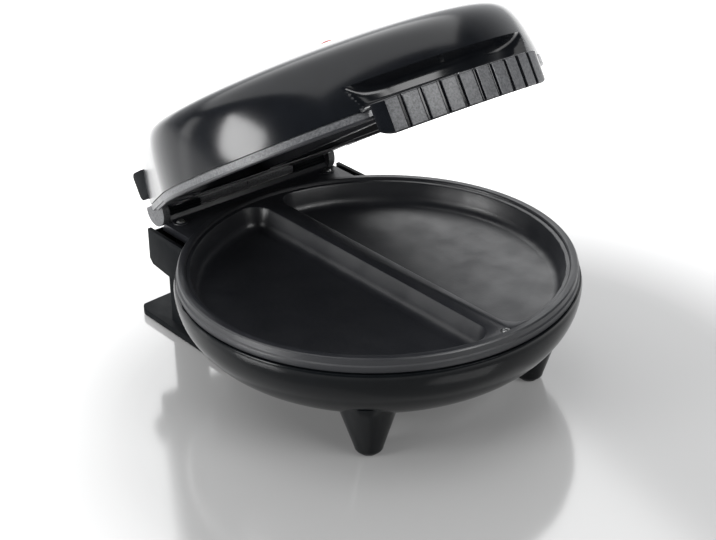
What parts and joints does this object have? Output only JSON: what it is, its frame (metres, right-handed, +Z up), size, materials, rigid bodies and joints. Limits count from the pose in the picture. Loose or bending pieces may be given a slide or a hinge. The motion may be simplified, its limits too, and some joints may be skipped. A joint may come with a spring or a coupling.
{
  "type": "electric omelette maker",
  "caption": "Round electric clamshell omelette maker with two half-moon wells in each plate, a domed hinged lid with a ribbed grip, two front legs and a rear stand plate.",
  "frame": {"origin": "on the worktop, under the centre of the round cooking plates", "axes": "+X to the object's right as seen by a person in front of it, -Y towards the grip and the user, +Y towards the hinge, +Z up"},
  "size_m": [0.225, 0.2628, 0.221],
  "materials": {
    "gloss_plastic": "glossy black",
    "matte_plastic": "fine matte dark grey",
    "coated_aluminium": "dark non-stick coating with a soft sheen",
    "sheet_aluminium": "plain rolled",
    "element_steel": "dull",
    "screw_steel": "plated",
    "pin_steel": "ground",
    "ceramic_body": "glazed cream",
    "pad_rubber": "matte",
    "gland_rubber": "matte",
    "wire_sleeve": "woven glass sleeve",
    "red_lens": "clear red",
    "green_lens": "clear green",
    "lamp_body": "smooth"
  },
  "bodies": {
    "base": {"base_shell": "gloss_plastic", "hinge_housing": "matte_plastic", "housing_screws": "screw_steel", "cord_gland": "gland_rubber", "rear_stand": "matte_plastic", "stand_screws": "screw_steel", "foot_pads": "pad_rubber", "lower_plate": "coated_aluminium", "lower_plate_screws": "screw_steel", "lower_heater": "element_steel", "lower_reflector": "sheet_aluminium", "lower_reflector_screws": "screw_steel", "thermostat": "ceramic_body", "thermal_fuse": "element_steel", "terminal_block": "ceramic_body", "lower_wires": "wire_sleeve", "hinge_pins": "pin_steel"},
    "lid": {"lid_shell": "gloss_plastic", "lid_bezel": "matte_plastic", "bezel_screws": "screw_steel", "upper_plate": "coated_aluminium", "upper_plate_screws": "screw_steel", "upper_heater": "element_steel", "upper_reflector": "sheet_aluminium", "upper_reflector_screws": "screw_steel", "handle_grip": "gloss_plastic", "grip_screws": "screw_steel", "storage_feet": "matte_plastic", "power_lens": "red_lens", "ready_lens": "green_lens", "indicator_lamps": "lamp_body", "upper_wires": "wire_sleeve"}
  },
  "joints": [
    {"name": "lid_hinge", "type": "hinge", "parent": "base", "child": "lid", "pos_m": [0, 0.126, 0.073], "axis": [-1, 0, 0], "range_deg": [-31.5, 68.5]}
  ]
}
